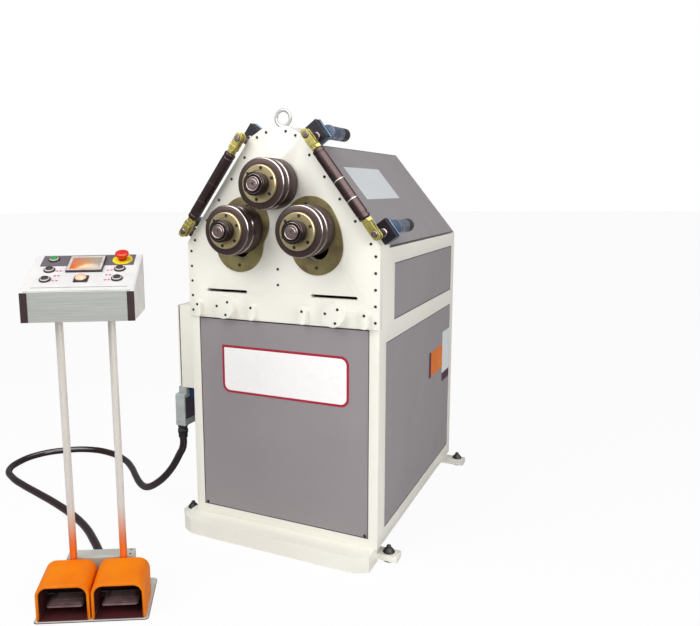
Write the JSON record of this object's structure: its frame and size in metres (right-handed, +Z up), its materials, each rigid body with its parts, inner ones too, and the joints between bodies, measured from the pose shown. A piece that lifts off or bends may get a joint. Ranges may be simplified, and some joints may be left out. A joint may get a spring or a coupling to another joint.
{
  "type": "ring roller",
  "caption": "Floor-standing machine that bends bars and sections between three driven rolls, two on swinging arms, with a separate foot-operated control stand.",
  "frame": {"origin": "on the floor, under the middle of the front plate's face", "axes": "+X to the right as the operator sees the machine, +Y towards its back, +Z up"},
  "size_m": [1.8316, 1.7165, 1.4763],
  "materials": {
    "cream_paint": "smooth warm white machine paint",
    "grey_paint": "fine textured mid grey paint",
    "roll_steel": "turned and hardened, dark with an oil film",
    "bright_steel": "ground bright",
    "black_steel": "black oxide, satin",
    "zinc_yellow": "yellow-passivated zinc",
    "cast_grey": "grey primed casting, machined faces",
    "hydraulic_blue": "blue-grey enamel",
    "hood_grey": "light grey powder coat",
    "black_plastic": "smooth black",
    "orange_plastic": "glossy safety orange",
    "tread_grey": "ribbed dark grey",
    "anodised": "satin natural",
    "red_plastic": "glossy red",
    "green_plastic": "glossy green"
  },
  "bodies": {
    "frame": {"front_plate": "cream_paint", "cabinet_frame": "cream_paint", "base_frame": "cream_paint", "lifting_eye": "cream_paint", "electric_cabinet": "cream_paint", "front_panel": "grey_paint", "left_lower_panel": "grey_paint", "right_lower_panel": "grey_paint", "left_upper_panel": "grey_paint", "right_upper_panel": "grey_paint", "left_slope_cover": "grey_paint", "right_slope_cover": "grey_paint", "rear_cover": "grey_paint", "top_drive": "cast_grey", "front_left_levelling_bolt": "black_steel", "front_right_levelling_bolt": "black_steel", "rear_left_levelling_bolt": "black_steel", "rear_right_levelling_bolt": "black_steel", "left_slot_cover": "zinc_yellow", "right_slot_cover": "zinc_yellow", "roll_block": "cast_grey", "left_cylinder": "hydraulic_blue", "right_cylinder": "hydraulic_blue", "hydraulic_unit": "hydraulic_blue", "left_lower_guide_arm": "hydraulic_blue", "left_upper_guide_arm": "hydraulic_blue", "right_lower_guide_arm": "hydraulic_blue", "right_upper_guide_arm": "hydraulic_blue", "connector_hood": "hood_grey", "conduit": "black_plastic", "left_foot_guard": "orange_plastic", "right_foot_guard": "orange_plastic", "stand_frame": "anodised", "console_housing": "anodised"},
    "top_roll_set": {"top_roll": "roll_steel", "top_shaft": "bright_steel", "top_retainer": "zinc_yellow"},
    "left_arm": {"left_swing_arm": "cast_grey", "left_drive": "cast_grey"},
    "right_arm": {"right_swing_arm": "cast_grey", "right_drive": "cast_grey"},
    "left_roll_set": {"left_roll": "roll_steel", "left_shaft": "bright_steel", "left_retainer": "zinc_yellow"},
    "right_roll_set": {"right_roll": "roll_steel", "right_shaft": "bright_steel", "right_retainer": "zinc_yellow"},
    "left_ram": {"left_ram": "bright_steel"},
    "right_ram": {"right_ram": "bright_steel"},
    "left_sleeve": {"left_strut_sleeve": "black_steel"},
    "right_sleeve": {"right_strut_sleeve": "black_steel"},
    "electric_door": {"electric_door": "cream_paint"},
    "left_treadle": {"left_treadle": "tread_grey"},
    "right_treadle": {"right_treadle": "tread_grey"},
    "emergency_stop": {"emergency_stop": "red_plastic"},
    "start_button": {"start_button": "green_plastic"},
    "left_lower_button": {"left_lower_button": "black_plastic"},
    "left_upper_button": {"left_upper_button": "black_plastic"},
    "right_lower_button": {"right_lower_button": "black_plastic"},
    "right_upper_button": {"right_upper_button": "black_plastic"}
  },
  "joints": [
    {"name": "top_roll_spin", "type": "hinge", "parent": "frame", "child": "top_roll_set", "pos_m": [0, 0, 1.236], "axis": [0, 1, 0], "continuous": true},
    {"name": "left_arm_swing", "type": "hinge", "parent": "frame", "child": "left_arm", "pos_m": [0, 0.2, 1.03], "axis": [0, 1, 0], "range_deg": [-23, 7.5]},
    {"name": "right_arm_swing", "type": "hinge", "parent": "frame", "child": "right_arm", "pos_m": [0, 0.2, 1.03], "axis": [0, -1, 0], "range_deg": [-23, 7.5]},
    {"name": "left_roll_spin", "type": "hinge", "parent": "left_arm", "child": "left_roll_set", "pos_m": [-0.12695, 0, 1.09137], "axis": [0, 1, 0], "continuous": true},
    {"name": "right_roll_spin", "type": "hinge", "parent": "right_arm", "child": "right_roll_set", "pos_m": [0.12695, 0, 1.09137], "axis": [0, 1, 0], "continuous": true},
    {"name": "left_ram_slide", "type": "slide", "parent": "frame", "child": "left_ram", "axis": [0, 0, 1], "range_m": [-0.086, 0.0285]},
    {"name": "right_ram_slide", "type": "slide", "parent": "frame", "child": "right_ram", "axis": [0, 0, 1], "range_m": [-0.086, 0.0285]},
    {"name": "left_sleeve_turn", "type": "hinge", "parent": "frame", "child": "left_sleeve", "pos_m": [-0.23222, -0.023, 1.23209], "axis": [0.5974, 0, 0.802], "range_deg": [-180, 180]},
    {"name": "right_sleeve_turn", "type": "hinge", "parent": "frame", "child": "right_sleeve", "pos_m": [0.23222, -0.023, 1.23209], "axis": [-0.5974, 0, 0.802], "range_deg": [-180, 180]},
    {"name": "electric_door_hinge", "type": "hinge", "parent": "frame", "child": "electric_door", "pos_m": [-0.4632, 0.48, 0.647], "axis": [0, 0, -1], "range_deg": [0, 110]},
    {"name": "left_treadle_hinge", "type": "hinge", "parent": "frame", "child": "left_treadle", "pos_m": [-0.41542, -0.57751, 0.026], "axis": [0.866, 0.5, 0], "range_deg": [0, 12], "stiffness_Nm_per_rad": 8, "springref_deg": -17.19},
    {"name": "right_treadle_hinge", "type": "hinge", "parent": "frame", "child": "right_treadle", "pos_m": [-0.27858, -0.49851, 0.026], "axis": [0.866, 0.5, 0], "range_deg": [0, 12], "stiffness_Nm_per_rad": 8, "springref_deg": -17.19},
    {"name": "emergency_stop_push", "type": "slide", "parent": "frame", "child": "emergency_stop", "axis": [-0.1917, 0.3319, -0.9236], "range_m": [0, 0.005]},
    {"name": "start_button_push", "type": "slide", "parent": "frame", "child": "start_button", "axis": [-0.1917, 0.3319, -0.9236], "range_m": [0, 0.004], "stiffness_N_per_m": 400, "springref_m": -0.004},
    {"name": "left_lower_button_push", "type": "slide", "parent": "frame", "child": "left_lower_button", "axis": [-0.1917, 0.3319, -0.9236], "range_m": [0, 0.004], "stiffness_N_per_m": 400, "springref_m": -0.004},
    {"name": "left_upper_button_push", "type": "slide", "parent": "frame", "child": "left_upper_button", "axis": [-0.1917, 0.3319, -0.9236], "range_m": [0, 0.004], "stiffness_N_per_m": 400, "springref_m": -0.004},
    {"name": "right_lower_button_push", "type": "slide", "parent": "frame", "child": "right_lower_button", "axis": [-0.1917, 0.3319, -0.9236], "range_m": [0, 0.004], "stiffness_N_per_m": 400, "springref_m": -0.004},
    {"name": "right_upper_button_push", "type": "slide", "parent": "frame", "child": "right_upper_button", "axis": [-0.1917, 0.3319, -0.9236], "range_m": [0, 0.004], "stiffness_N_per_m": 400, "springref_m": -0.004}
  ],
  "couplings": [
    {"joint": "left_roll_spin", "follows": "top_roll_spin", "ratio": -1},
    {"joint": "right_roll_spin", "follows": "top_roll_spin", "ratio": -1},
    {"joint": "left_ram_slide", "follows": "left_arm_swing", "m_per_rad": 0.2129},
    {"joint": "right_ram_slide", "follows": "right_arm_swing", "m_per_rad": 0.2129}
  ]
}
